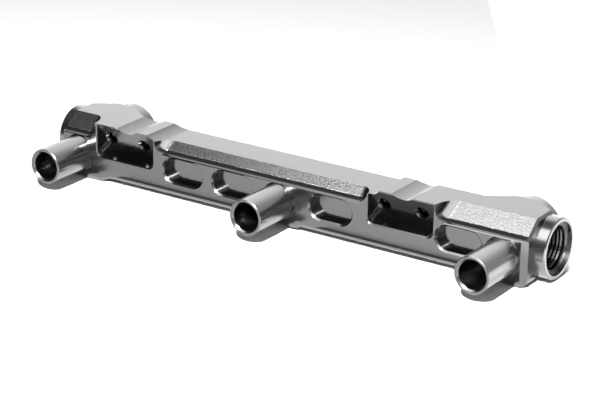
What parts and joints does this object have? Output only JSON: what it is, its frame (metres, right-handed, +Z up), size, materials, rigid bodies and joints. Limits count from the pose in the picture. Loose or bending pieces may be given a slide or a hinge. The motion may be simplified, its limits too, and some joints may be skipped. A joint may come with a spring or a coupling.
{
  "type": "fuel rail",
  "caption": "Milled billet fuel rail body with hollow injector cups along the front, threaded ports at both ends and the back, and tilted bracket pads with tapped holes.",
  "frame": {"origin": "middle of the bounding box, on the floor the rail lies on", "axes": "+X along the rail, towards the end that is nearer in the picture; +Y away from the injector cups' mouths; +Z up"},
  "size_m": [0.272, 0.066, 0.0303],
  "materials": {
    "rail_body": "glossy graphite hard anodising, with fine milling steps on the sloped upper rebates"
  },
  "bodies": {
    "root": {"rail_body": "rail_body"}
  },
  "joints": []
}
